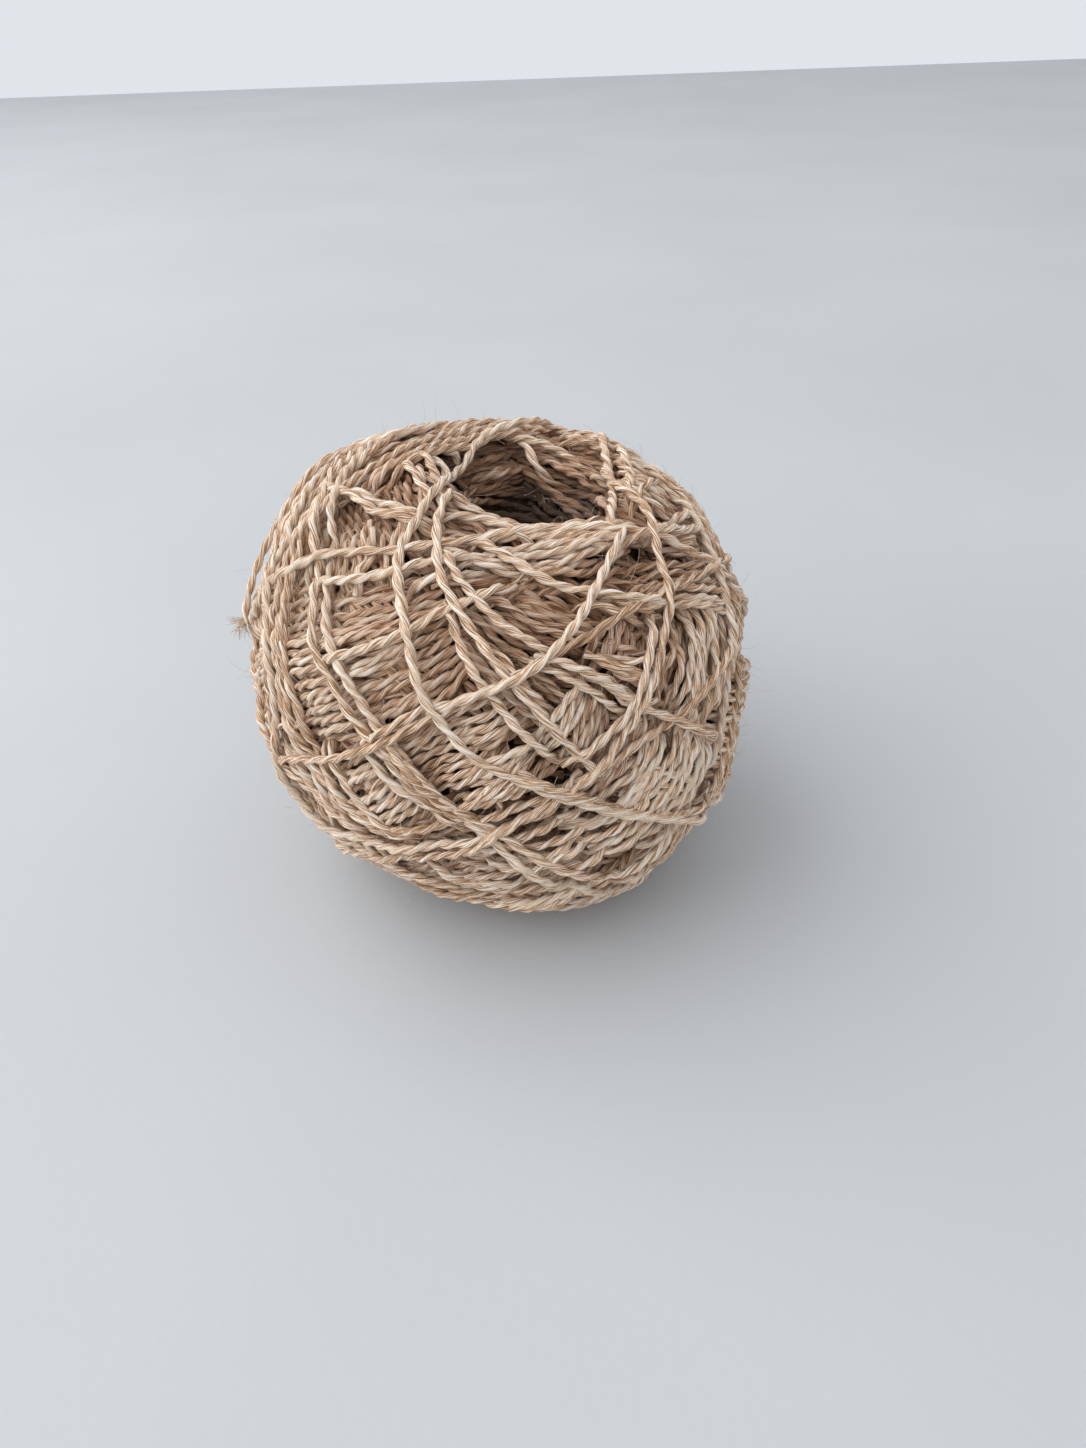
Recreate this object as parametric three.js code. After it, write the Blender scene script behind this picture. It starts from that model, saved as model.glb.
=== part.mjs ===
// A hand-wound ball of fingering yarn with a blind centre hole, and the loose end that stands off its side.
// Millimetres, +Z up. The origin is the middle of the flat spot that the ball rests on.
import * as THREE from "three";

// Driving dimensions of the ball
const BALL_WIDTH = 88.6;
const WAIST_HEIGHT = 39;
const CROWN_ABOVE_WAIST = 41.4;
const FOOT_BELOW_WAIST = 40.4;
const CROWN_FULLNESS = 2.35;
const FOOT_FULLNESS = 2.5;

// Driving dimensions of the centre hole
const MOUTH_OFFSET = 8;
const HOLE_OFFSET = 2;
const HOLE_RADIUS = 7;
const HOLE_FLOOR_HEIGHT = 38;
const FUNNEL_FADE = 8;
const RIM_LATITUDE = 67;
const LIP_DROP = 0.6;
const LIP_SPREAD = 4;
const MOUTH_EDGE_BAND = 18;
const MOUTH_EDGE_SMOOTHING = 0.6;

// Driving dimensions of the yarn
const YARN_DIAMETER = 1.6;
const CORD_SIDES = 8;
const CORD_STEPS = 12;

// Where the winding swells or sinks: towards a place given in degrees around and up from the waist,
// over a spread in degrees, by a rise in millimetres
const SWELLS = [
  { around: -62, up: -44, spread: 28, rise: 2.8 },
  { around: -124, up: -40, spread: 34, rise: -2.2 },
  { around: 62, up: 60, spread: 24, rise: -1.2 },
  { around: 140, up: 55, spread: 30, rise: 1.2 },
  { around: 5, up: 2, spread: 30, rise: -0.4 },
  { around: 176, up: 33, spread: 16, rise: -2.2 },
  { around: -65, up: 66, spread: 22, rise: -5.3 },
];

// The main twists: each lies in a plane, given by where its normal points in degrees and its distance
// from the middle of the ball, and stands up over half a width on either side of that plane
const TWISTS = [
  { around: -45, up: 41, offset: 30, half: 5.5, rise: 1.6 },
  { around: -114, up: 44, offset: 27.5, half: 5.5, rise: 1.6 },
  { around: -53, up: 49, offset: 20, half: 6, rise: 1.4 },
  { around: -15, up: 44, offset: 23, half: 5.5, rise: 1.4 },
  { around: 93, up: 60, offset: 19.5, half: 5.5, rise: 1.5 },
  { around: 113, up: 48, offset: 3.5, half: 7, rise: 1.2 },
  { around: -124, up: 51, offset: 8, half: 7, rise: 1.2 },
  { around: 60, up: 35, offset: 24, half: 6.5, rise: 1.5 },
  { around: 160, up: 30, offset: 22, half: 6.5, rise: 1.4 },
  { around: 20, up: 15, offset: 14, half: 6.5, rise: 1.2 },
  { around: 75, up: 75, offset: -18, half: 6.5, rise: 1.3 },
];

// Steps of the surface mesh
const AROUND_STEPS = 100;
const OUTER_STEPS = 42;
const HOLE_STEPS = 9;
const FOOT_LATITUDE = -66;
const MOUTH_SHIFT_LATITUDE = 20;
const HOLE_STEP_CROWDING = 1.7;

// Route of the loose end, from where it leaves the ball to its tip
const LOOSE_END_ROUTE = [
  [-27.1, 12.5, 75.7],
  [-29.0, 11.3, 75.2],
  [-30.9, 10.1, 74.3],
  [-32.6, 8.9, 73.0],
  [-34.1, 7.8, 71.5],
  [-35.5, 6.6, 69.9],
  [-36.8, 5.4, 68.3],
  [-38.0, 4.1, 66.7],
  [-39.2, 2.8, 65.1],
  [-40.3, 1.5, 63.4],
  [-41.3, 0.1, 61.8],
  [-42.2, -1.2, 60.1],
  [-43.0, -2.5, 58.3],
  [-43.7, -3.8, 56.4],
  [-44.2, -5.1, 54.5],
  [-44.5, -6.4, 52.6],
];

function bearing(around, up) {
  const turn = THREE.MathUtils.degToRad(around);
  const rise = THREE.MathUtils.degToRad(up);
  return new THREE.Vector3(
    Math.cos(rise) * Math.cos(turn),
    Math.cos(rise) * Math.sin(turn),
    Math.sin(rise),
  );
}

function swellAt(direction) {
  let total = 0;
  for (const swell of SWELLS) {
    const away = direction.angleTo(bearing(swell.around, swell.up));
    total += swell.rise * Math.exp(-((away / THREE.MathUtils.degToRad(swell.spread)) ** 2));
  }
  return total;
}

function twistAt(point) {
  let highest = 0;
  for (const twist of TWISTS) {
    const away = Math.abs(point.dot(bearing(twist.around, twist.up)) - twist.offset);
    const inside = Math.max(0, 1 - (away / twist.half) ** 2);
    highest = Math.max(highest, twist.rise * inside ** 2);
  }
  return highest;
}

// How much of a twist's rise is left near the mouth, whose edge is drawn smooth
function nearMouth(latitude) {
  const nearness = THREE.MathUtils.smoothstep(latitude, RIM_LATITUDE - MOUTH_EDGE_BAND, RIM_LATITUDE);
  return 1 - MOUTH_EDGE_SMOOTHING * nearness;
}

// How far the lip of the mouth is rounded down, at a distance from its edge
function lipDrop(away) {
  return LIP_DROP * Math.exp(-((away / LIP_SPREAD) ** 2));
}

// Distance of the plain form from the middle of the ball, as a superellipse turned about Z
function plainRadius(direction) {
  const level = Math.hypot(direction.x, direction.y);
  const upper = direction.z > 0;
  const fullness = upper ? CROWN_FULLNESS : FOOT_FULLNESS;
  const height = upper ? CROWN_ABOVE_WAIST : FOOT_BELOW_WAIST;
  const sum = (level / (BALL_WIDTH / 2)) ** fullness + (Math.abs(direction.z) / height) ** fullness;
  return sum ** (-1 / fullness);
}

// A point of the outer surface: latitudes near the mouth are drawn sideways to the mouth's own middle
function outerPoint(turn, latitude) {
  const drawn = THREE.MathUtils.smoothstep(latitude, MOUTH_SHIFT_LATITUDE, RIM_LATITUDE);
  const direction = bearing(THREE.MathUtils.radToDeg(turn), latitude);
  direction.x += (drawn * MOUTH_OFFSET) / CROWN_ABOVE_WAIST;
  direction.normalize();
  const point = direction.clone().multiplyScalar(plainRadius(direction) + swellAt(direction));
  point.addScaledVector(direction, twistAt(point) * nearMouth(latitude));
  const away = THREE.MathUtils.degToRad(RIM_LATITUDE - latitude) * CROWN_ABOVE_WAIST;
  point.z = Math.max(0, point.z + WAIST_HEIGHT - lipDrop(away));
  return point;
}

// A point of the hole's wall, from the rim at depth 0 to the floor at depth 1
function holePoint(turn, depth) {
  const rim = outerPoint(turn, RIM_LATITUDE);
  const top = rim.z + LIP_DROP;
  const height = THREE.MathUtils.lerp(top, HOLE_FLOOR_HEIGHT, depth);
  const narrowing = Math.exp(-(top - height) / FUNNEL_FADE);
  const middle = THREE.MathUtils.lerp(HOLE_OFFSET, MOUTH_OFFSET, narrowing);
  const rimRadius = Math.hypot(rim.x - MOUTH_OFFSET, rim.y);
  const radius = THREE.MathUtils.lerp(HOLE_RADIUS, rimRadius, narrowing);
  const lowered = height - lipDrop(rimRadius - radius);
  return new THREE.Vector3(middle + radius * Math.cos(turn), radius * Math.sin(turn), lowered);
}

function surfaceRings() {
  const rings = [];
  for (let step = 0; step <= OUTER_STEPS; step++) {
    const latitude = THREE.MathUtils.lerp(FOOT_LATITUDE, RIM_LATITUDE, step / OUTER_STEPS);
    rings.push((turn) => outerPoint(turn, latitude));
  }
  for (let step = 1; step <= HOLE_STEPS; step++) {
    const depth = (step / HOLE_STEPS) ** HOLE_STEP_CROWDING;
    rings.push((turn) => holePoint(turn, depth));
  }
  return rings;
}

// Joins rings of equal count into one closed body, with a middle point at either end
function closedBody(rings, firstMiddle, lastMiddle) {
  const positions = [];
  const faces = [];
  for (const ring of rings) {
    for (let step = 0; step < AROUND_STEPS; step++) {
      positions.push(...ring((2 * Math.PI * step) / AROUND_STEPS).toArray());
    }
  }
  const first = positions.length / 3;
  const last = first + 1;
  positions.push(...firstMiddle.toArray(), ...lastMiddle.toArray());
  for (let step = 0; step < AROUND_STEPS; step++) {
    const next = (step + 1) % AROUND_STEPS;
    faces.push(first, next, step);
    for (let row = 0; row + 1 < rings.length; row++) {
      const low = row * AROUND_STEPS;
      const high = low + AROUND_STEPS;
      faces.push(low + step, low + next, high + next);
      faces.push(low + step, high + next, high + step);
    }
    const end = (rings.length - 1) * AROUND_STEPS;
    faces.push(last, end + step, end + next);
  }
  const geometry = new THREE.BufferGeometry();
  geometry.setAttribute("position", new THREE.Float32BufferAttribute(positions, 3));
  geometry.setIndex(faces);
  geometry.computeVertexNormals();
  return geometry;
}

function woundBall() {
  const floorMiddle = new THREE.Vector3(HOLE_OFFSET, 0, HOLE_FLOOR_HEIGHT);
  const geometry = closedBody(surfaceRings(), new THREE.Vector3(0, 0, 0), floorMiddle);
  const material = new THREE.MeshStandardMaterial({ color: 0xcdb397, roughness: 0.95, metalness: 0 });
  const mesh = new THREE.Mesh(geometry, material);
  mesh.name = "wound_ball";
  return mesh;
}

function looseEnd() {
  const route = new THREE.CatmullRomCurve3(LOOSE_END_ROUTE.map((place) => new THREE.Vector3(...place)));
  const section = new THREE.Shape();
  for (let side = 0; side < CORD_SIDES; side++) {
    const turn = (2 * Math.PI * side) / CORD_SIDES;
    const across = (YARN_DIAMETER / 2) * Math.cos(turn);
    const along = (YARN_DIAMETER / 2) * Math.sin(turn);
    if (side === 0) section.moveTo(across, along);
    else section.lineTo(across, along);
  }
  section.closePath();
  const geometry = new THREE.ExtrudeGeometry(section, {
    extrudePath: route,
    steps: CORD_STEPS,
    bevelEnabled: false,
  });
  const material = new THREE.MeshStandardMaterial({ color: 0xd8c0a4, roughness: 0.95, metalness: 0 });
  const mesh = new THREE.Mesh(geometry, material);
  mesh.name = "loose_end";
  return mesh;
}

const ballOfYarn = new THREE.Group();
ballOfYarn.add(woundBall(), looseEnd());

export default ballOfYarn;
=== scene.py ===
"""A hand-wound ball of fingering yarn, with every turn that shows laid as a two-ply yarn over its form."""
import math

import bpy
import numpy as np
from mathutils import Matrix, kdtree
from mathutils.bvhtree import BVHTree


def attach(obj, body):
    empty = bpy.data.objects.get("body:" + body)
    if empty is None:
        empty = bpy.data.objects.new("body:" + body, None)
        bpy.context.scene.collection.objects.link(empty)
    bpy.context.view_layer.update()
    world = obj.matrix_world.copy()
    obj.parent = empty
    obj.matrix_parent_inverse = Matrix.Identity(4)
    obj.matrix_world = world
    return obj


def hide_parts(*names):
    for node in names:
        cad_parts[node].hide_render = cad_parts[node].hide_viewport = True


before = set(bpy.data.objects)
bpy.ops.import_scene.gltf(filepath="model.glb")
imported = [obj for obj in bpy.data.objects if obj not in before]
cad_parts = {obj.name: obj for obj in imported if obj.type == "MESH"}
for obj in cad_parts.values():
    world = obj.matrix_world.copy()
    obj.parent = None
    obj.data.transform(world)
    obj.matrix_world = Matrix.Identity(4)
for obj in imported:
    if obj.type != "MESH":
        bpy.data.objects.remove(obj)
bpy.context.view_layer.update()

# Working sizes are millimetres, and become metres when a mesh is made
METRES = 0.001

# Camera, at the photograph's viewing angle
PHOTO_WIDTH = 1086
PHOTO_HEIGHT = 1448
CAMERA_PLACE = (7.4, -166.4, 146.2)
CAMERA_PITCH = 36.4
CAMERA_ROLL = -2.1
CAMERA_LENS = 26.0
SENSOR_WIDTH = 36.0

# The yarn: two plies, twisted together
YARN_DIAMETER = 1.6
PLY_LENGTH = 7.2
PLY_RADIUS = 0.3
PLY_SPREAD = 0.2
# How the painted shade in the grooves between the plies fades out, as the ring's reach grows from this share
# of the diameter over the next
GROOVE_FROM = 0.2
GROOVE_OVER = 0.3

# How its thickness and twist vary, from group to group and along a turn
GIRTHS = {"fill": 1.0, "hole": 0.95, "mouth": 0.98, "bands": 1.0, "rows": 1.0, "crossings": 1.06, "end": 1.0}
GIRTH_EVERY = 9
GIRTH_DRIFT = 0.055
TWIST_RANGE = (0.82, 1.2)

# The steps in which the turns and the loose end are drawn, and the seed of all that is random
STEP = 1.0
END_STEP = 0.6
SEED = 41

# Route of the loose end, in metres, from where it leaves the ball to its tip
LOOSE_END_ROUTE = [
    (-0.0271, 0.0125, 0.0757),
    (-0.0290, 0.0113, 0.0752),
    (-0.0309, 0.0101, 0.0743),
    (-0.0326, 0.0089, 0.0730),
    (-0.0341, 0.0078, 0.0715),
    (-0.0355, 0.0066, 0.0699),
    (-0.0368, 0.0054, 0.0683),
    (-0.0380, 0.0041, 0.0667),
    (-0.0392, 0.0028, 0.0651),
    (-0.0403, 0.0015, 0.0634),
    (-0.0413, 0.0001, 0.0618),
    (-0.0422, -0.0012, 0.0601),
    (-0.0430, -0.0025, 0.0583),
    (-0.0437, -0.0038, 0.0564),
    (-0.0442, -0.0051, 0.0545),
    (-0.0445, -0.0064, 0.0526),
]

# The ball's form, as in the model's source, with the outermost yarn on it
BALL_WIDTH = 90.0
WAIST_HEIGHT = 39.0
CROWN_ABOVE_WAIST = 42.0
FOOT_BELOW_WAIST = 41.0
CROWN_FULLNESS = 2.35
FOOT_FULLNESS = 2.5
MOUTH_OFFSET = 8.0
HOLE_OFFSET = 2.0
HOLE_RADIUS = 7.0
HOLE_FLOOR_HEIGHT = 38.0
FUNNEL_FADE = 8.0
RIM_LATITUDE = 67.0
MOUTH_SHIFT_LATITUDE = 20.0

# How turns keep clear of the mouth, and how a path is found and carried on over the skin
MOUTH_CLEARANCE = 14.0
MOUTH_SUNK = 1.5
NEAR_MOUTH = 22
STEERING = 0.45
STEERING_REACH = 7
PATH_SMOOTHING = 4
HEADING_STEPS = 7
FIRST_REACH = 30.0
REACH_ROUNDS = 12
LEAST_REACH = 2.0
ABOVE_BALL = 98
JUMP = 3.5
CLEAR_SHARE = 0.9
CLEAR_SHARPNESS = 4

# Where the winding swells or sinks: degrees around and up, spread in degrees, rise in millimetres
SWELLS = [
    {"around": -62, "up": -44, "spread": 28, "rise": 2.8},
    {"around": -124, "up": -40, "spread": 34, "rise": -2.2},
    {"around": 62, "up": 60, "spread": 24, "rise": -1.2},
    {"around": 140, "up": 55, "spread": 30, "rise": 1.2},
    {"around": -65, "up": 66, "spread": 22, "rise": -5.3},
    {"around": 166, "up": 44, "spread": 17, "rise": 1.1},
]

# The skin's own grid, and how far its lip is softened: from these ways on, and up to these
SKIN_AROUND_STEPS = 240
SKIN_OUTER_STEPS = 250
SKIN_HOLE_STEPS = 90
LIP_SOFTENING = 90
LIP_SOFT_FROM = (0.72, 0.88)
LIP_SOFT_TO = (1.35, 1.7)

# The bed that the turns are laid on, inside the form, and the core below it, painted dark as shade
BED_SPACING = 0.45
BED_DEPTH = 4.6
HOLE_BED_DEPTH = 2.4
LIP_WAYS = (0.82, 1.02)
CORE_DEPTH = 9.0

# How a turn lies on what is below it: how it rests, bends over it and wanders aside
YARN_SINK = 0.58
FOOTPRINT = 0.32
COVER = 0.68
TOP_ROUNDNESS = 0.9
SAG_RADIUS = 5.5
SAG_REACH = 7
SMOOTHING = 3
WANDER = 0.12
WANDER_EVERY = 10
FINE_WANDER = 0.4
FINE_WANDER_EVERY = 4

# How the winding is settled to the skin, and how far single turns stand above that level or lie below it
LEVEL_BELOW_SKIN = 0.7
LEVEL_SPREAD = 6.0
LEVEL_SMOOTHING = 6
THINNED = 9
THINNED_AGAIN = 7
NEAR_NODES = 8
NODE_SOFTNESS = 0.8
PROUD = 0.9
SUNK = 0.8
SQUASH = 0.35
LOWEST_YARN = 0.45

# How deep and over what length a turn's ends are tucked in, and how far under its neighbours a turn shows
TUCK = 1.9
TUCK_LENGTH = 4.5
HIDDEN_DEPTH = 0.9
SHOWN_MARGIN = 3

# Where painted shade darkens the hole: inside these widths from its middle, and between these heights
PAINTED_PIT_WIDTHS = (11.0, 15.0)
PAINTED_PIT_HEIGHTS = (75.0, 62.0)
PAINTED_PIT_DEPTH = 7.5


def bearing(around, up):
    turn = np.radians(around)
    rise = np.radians(up)
    return np.stack([np.cos(rise) * np.cos(turn), np.cos(rise) * np.sin(turn), np.sin(rise)], -1)


def unit(vectors):
    return vectors / np.maximum(np.linalg.norm(vectors, axis=-1, keepdims=True), 1e-9)


def smoothstep(value, low, high):
    share = np.clip((value - low) / (high - low), 0, 1)
    return share * share * (3 - 2 * share)


# Distance of the form's surface from the middle of the ball, in each direction
def form_radius(directions):
    level = np.hypot(directions[..., 0], directions[..., 1])
    upper = directions[..., 2] > 0
    fullness = np.where(upper, CROWN_FULLNESS, FOOT_FULLNESS)
    height = np.where(upper, CROWN_ABOVE_WAIST, FOOT_BELOW_WAIST)
    total = (level / (BALL_WIDTH / 2)) ** fullness + (np.abs(directions[..., 2]) / height) ** fullness
    radius = total ** (-1 / fullness)
    for swell in SWELLS:
        facing = directions @ bearing(swell["around"], swell["up"])
        away = np.degrees(np.arccos(np.clip(facing, -1, 1)))
        radius = radius + swell["rise"] * np.exp(-((away / swell["spread"]) ** 2))
    return radius


def outer_point(turn, latitude):
    drawn = smoothstep(latitude, MOUTH_SHIFT_LATITUDE, RIM_LATITUDE)
    directions = bearing(np.degrees(turn), latitude)
    directions[..., 0] += drawn * MOUTH_OFFSET / CROWN_ABOVE_WAIST
    directions = unit(directions)
    points = directions * form_radius(directions)[..., None]
    points[..., 2] = np.maximum(0, points[..., 2] + WAIST_HEIGHT)
    return points


def hole_point(turn, depth):
    rim = outer_point(turn, np.full_like(turn, RIM_LATITUDE))
    height = rim[..., 2] + (HOLE_FLOOR_HEIGHT - rim[..., 2]) * depth
    narrowing = np.exp(-(rim[..., 2] - height) / FUNNEL_FADE)
    middle = HOLE_OFFSET + (MOUTH_OFFSET - HOLE_OFFSET) * narrowing
    rim_radius = np.hypot(rim[..., 0] - MOUTH_OFFSET, rim[..., 1])
    radius = HOLE_RADIUS + (rim_radius - HOLE_RADIUS) * narrowing
    return np.stack([middle + radius * np.cos(turn), radius * np.sin(turn), height], -1)


class Skin:
    """The skin on a grid: turns go round, and ways from 0 under it, by 1 at the rim, to 2 in the hole."""

    def __init__(self):
        outer_ways = np.linspace(0.004, 1, SKIN_OUTER_STEPS)
        self.ways = np.concatenate([outer_ways, np.linspace(1, 1.995, SKIN_HOLE_STEPS)[1:]])
        turn, way = np.meshgrid(np.linspace(0, 2 * math.pi, SKIN_AROUND_STEPS + 1), self.ways, indexing="ij")
        outside = outer_point(turn, -90 + (RIM_LATITUDE + 90) * np.clip(way, 0, 1))
        inside = hole_point(turn, np.clip(way - 1, 0, 1))
        grid = np.where((way <= 1)[..., None], outside, inside)
        soft = grid.copy()
        for _ in range(LIP_SOFTENING):
            soft[:, 1:-1] = 0.25 * soft[:, :-2] + 0.5 * soft[:, 1:-1] + 0.25 * soft[:, 2:]
        near_lip = smoothstep(way, *LIP_SOFT_FROM) * (1 - smoothstep(way, *LIP_SOFT_TO))
        self.grid = grid + (soft - grid) * near_lip[..., None]
        around = np.roll(self.grid[:-1], -1, 0) - np.roll(self.grid[:-1], 1, 0)
        around = np.concatenate([around, around[:1]])
        self.normals = unit(np.cross(around, np.gradient(self.grid, axis=1)))

    # Place and outward normal at a turn and a way, between the grid's own steps
    def at(self, turn, way):
        turn, way = np.broadcast_arrays(np.asarray(turn, float), np.asarray(way, float))
        column = (turn / (2 * math.pi) % 1) * SKIN_AROUND_STEPS
        row = np.interp(way, self.ways, np.arange(len(self.ways)))
        left = np.minimum(column.astype(int), SKIN_AROUND_STEPS - 1)
        low = np.minimum(row.astype(int), len(self.ways) - 2)
        across, up = (column - left)[..., None], (row - low)[..., None]
        found = []
        for grid in (self.grid, self.normals):
            start = grid[left, low] * (1 - across) + grid[left + 1, low] * across
            stop = grid[left, low + 1] * (1 - across) + grid[left + 1, low + 1] * across
            found.append(start * (1 - up) + stop * up)
        return found[0], unit(found[1])


def bed_depth(way):
    return BED_DEPTH + (HOLE_BED_DEPTH - BED_DEPTH) * smoothstep(way, *LIP_WAYS)


# The skin as a mesh of even steps, drawn inwards by a depth
def skin_mesh(depth, around_steps=120, way_steps=110):
    turns = np.linspace(0, 2 * math.pi, around_steps, endpoint=False)
    ways = np.concatenate([np.linspace(0.02, 1, way_steps), np.linspace(1.02, 1.99, way_steps // 3)])
    turn, way = np.meshgrid(turns, ways)
    places, normals = skin_grid.at(turn, way)
    points = places - normals * (depth * bed_depth(way) / BED_DEPTH)[..., None]
    rows = len(ways)
    vertices = [tuple(p) for p in points.reshape(-1, 3)]
    faces = []
    for row in range(rows - 1):
        for step in range(around_steps):
            other = (step + 1) % around_steps
            low, high = row * around_steps, (row + 1) * around_steps
            faces.append((low + step, low + other, high + other, high + step))
    faces.append(tuple(reversed(range(around_steps))))
    faces.append(tuple(range((rows - 1) * around_steps, rows * around_steps)))
    return vertices, faces


# The camera's own axes, which also turn a place in the photograph into a line of sight
def camera_axes():
    pitch, roll = math.radians(CAMERA_PITCH), math.radians(CAMERA_ROLL)
    ahead = np.array([0, math.cos(pitch), -math.sin(pitch)])
    level = np.array([1.0, 0, 0])
    rise = np.array([0, math.sin(pitch), math.cos(pitch)])
    right = math.cos(roll) * level + math.sin(roll) * rise
    up = -math.sin(roll) * level + math.cos(roll) * rise
    return right, up, ahead


def make_camera():
    right, up, ahead = camera_axes()
    lens = bpy.data.cameras.new("camera")
    lens.lens = CAMERA_LENS
    lens.sensor_width = SENSOR_WIDTH
    lens.sensor_fit = "AUTO"
    lens.clip_start = 0.01
    camera = bpy.data.objects.new("camera", lens)
    place = np.array(CAMERA_PLACE) * METRES
    rows = [[right[i], up[i], -ahead[i], place[i]] for i in range(3)]
    camera.matrix_world = Matrix(rows + [[0, 0, 0, 1]])
    bpy.context.scene.collection.objects.link(camera)
    bpy.context.scene.camera = camera


# Node trees: sums on sockets are written as Python sums, and every other node comes from one function
class Number:
    """A socket that carries a number."""

    def __init__(self, tree, socket):
        self.tree = tree
        self.socket = socket

    def sum(self, operation, first, second=0.0):
        made = add_node(self.tree, "ShaderNodeMath", {"operation": operation}, {0: first, 1: second})
        return Number(self.tree, made.outputs[0])

    def __add__(self, other):
        return self.sum("ADD", self, other)

    __radd__ = __add__

    def __sub__(self, other):
        return self.sum("SUBTRACT", self, other)

    def __rsub__(self, other):
        return self.sum("SUBTRACT", other, self)

    def __mul__(self, other):
        return self.sum("MULTIPLY", self, other)

    __rmul__ = __mul__

    def __truediv__(self, other):
        return self.sum("DIVIDE", self, other)

    def __pow__(self, other):
        return self.sum("POWER", self, other)

    def __abs__(self):
        return self.sum("ABSOLUTE", self)


def add_node(tree, kind, settings=None, sockets=None):
    node = tree.nodes.new(kind)
    for name, value in (settings or {}).items():
        if name == "stops":
            stops = node.color_ramp.elements
            for place, colour in value:
                stops.new(place).color = (*colour, 1)
            stops.remove(stops[0])
            stops.remove(stops[-1])
        else:
            setattr(node, name, value)
    for key, value in (sockets or {}).items():
        socket = node.inputs[key]
        if isinstance(value, Number):
            tree.links.new(value.socket, socket)
        elif isinstance(value, bpy.types.NodeSocket):
            tree.links.new(value, socket)
        else:
            socket.default_value = value
    return node


def number(tree, kind, settings=None, sockets=None, out=0):
    return Number(tree, add_node(tree, kind, settings, sockets).outputs[out])


# A value that the mesh carries, read in a geometry tree, and stored there
def carried_value(tree, name):
    return number(tree, "GeometryNodeInputNamedAttribute", {"data_type": "FLOAT"}, {"Name": name})


def stored(tree, geometry, name, value, kind="FLOAT"):
    settings = {"data_type": kind, "domain": "POINT"}
    sockets = {"Geometry": geometry, "Name": name, "Value": value}
    return add_node(tree, "GeometryNodeStoreNamedAttribute", settings, sockets).outputs[0]


# The same value, read in a material
def painted_value(tree, name):
    return number(tree, "ShaderNodeAttribute", {"attribute_name": name}, out="Fac")


def object_place(tree):
    return add_node(tree, "ShaderNodeTexCoord").outputs["Object"]


def noise(tree, place, scale, detail):
    return number(tree, "ShaderNodeTexNoise", None, {"Vector": place, "Scale": scale, "Detail": detail})


def ramp(tree, value, stops):
    return add_node(tree, "ShaderNodeValToRGB", {"stops": stops}, {0: value}).outputs[0]


def bumped(tree, height, strength, distance):
    sockets = {"Strength": strength, "Distance": distance, "Height": height}
    return add_node(tree, "ShaderNodeBump", None, sockets).outputs[0]


# A share from 0 to most, as the value goes from low to high
def share_of(tree, value, low, high, most):
    sockets = {"Value": value, "From Min": low, "From Max": high, "To Min": 0.0, "To Max": most}
    return add_node(tree, "ShaderNodeMapRange", {"clamp": True}, sockets).outputs[0]


def multiplied(tree, share, colour, tint):
    settings = {"data_type": "RGBA", "blend_type": "MULTIPLY"}
    return add_node(tree, "ShaderNodeMix", settings, {0: share, 6: colour, 7: (*tint, 1)}).outputs[2]


def new_finish(name):
    material = bpy.data.materials.new(name)
    material.use_nodes = True
    material.node_tree.nodes.clear()
    return material, material.node_tree


def end_finish(tree, sockets):
    shader = add_node(tree, "ShaderNodeBsdfPrincipled", None, sockets)
    add_node(tree, "ShaderNodeOutputMaterial", None, {0: shader.outputs[0]})


def geometry_tree(name, sizes):
    tree = bpy.data.node_groups.new(name, "GeometryNodeTree")
    tree.interface.new_socket("Geometry", in_out="INPUT", socket_type="NodeSocketGeometry")
    for size in sizes:
        kind = "NodeSocketInt" if isinstance(sizes[size], int) else "NodeSocketFloat"
        tree.interface.new_socket(size, in_out="INPUT", socket_type=kind)
    tree.interface.new_socket("Geometry", in_out="OUTPUT", socket_type="NodeSocketGeometry")
    return tree


def end_tree(tree, geometry, finish):
    real = add_node(tree, "GeometryNodeRealizeInstances", None, {0: geometry})
    painted = add_node(tree, "GeometryNodeSetMaterial", {}, {0: real.outputs[0], "Material": finish})
    add_node(tree, "NodeGroupOutput", None, {0: painted.outputs[0]})


# Runs a tree on an object, and puts a new piece with the resulting plain mesh in its place
def grown(name, source, tree, sizes):
    grower = source.modifiers.new("grower", "NODES")
    grower.node_group = tree
    for item in tree.interface.items_tree:
        if item.in_out == "INPUT" and item.name in sizes:
            grower[item.identifier] = sizes[item.name]
    bpy.context.view_layer.update()
    graph = bpy.context.evaluated_depsgraph_get()
    mesh = bpy.data.meshes.new_from_object(
        source.evaluated_get(graph), preserve_all_data_layers=True, depsgraph=graph
    )
    source.modifiers.remove(grower)
    mesh.name = name
    piece = bpy.data.objects.new(name, mesh)
    bpy.context.scene.collection.objects.link(piece)
    bpy.data.objects.remove(source)
    return piece


def plain_object(name, vertices, edges, faces):
    mesh = bpy.data.meshes.new(name)
    mesh.from_pydata(vertices, edges, faces)
    mesh.update()
    thing = bpy.data.objects.new(name, mesh)
    bpy.context.scene.collection.objects.link(thing)
    return thing


def circle(tree, sides, radius):
    sockets = {"Resolution": sides, "Radius": radius}
    return add_node(tree, "GeometryNodeCurvePrimitiveCircle", {"mode": "RADIUS"}, sockets).outputs[0]


def swept(tree, line, ring, scale):
    sockets = {"Curve": line, "Profile Curve": ring, "Scale": scale, "Fill Caps": True}
    return add_node(tree, "GeometryNodeCurveToMesh", None, sockets).outputs[0]


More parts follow.
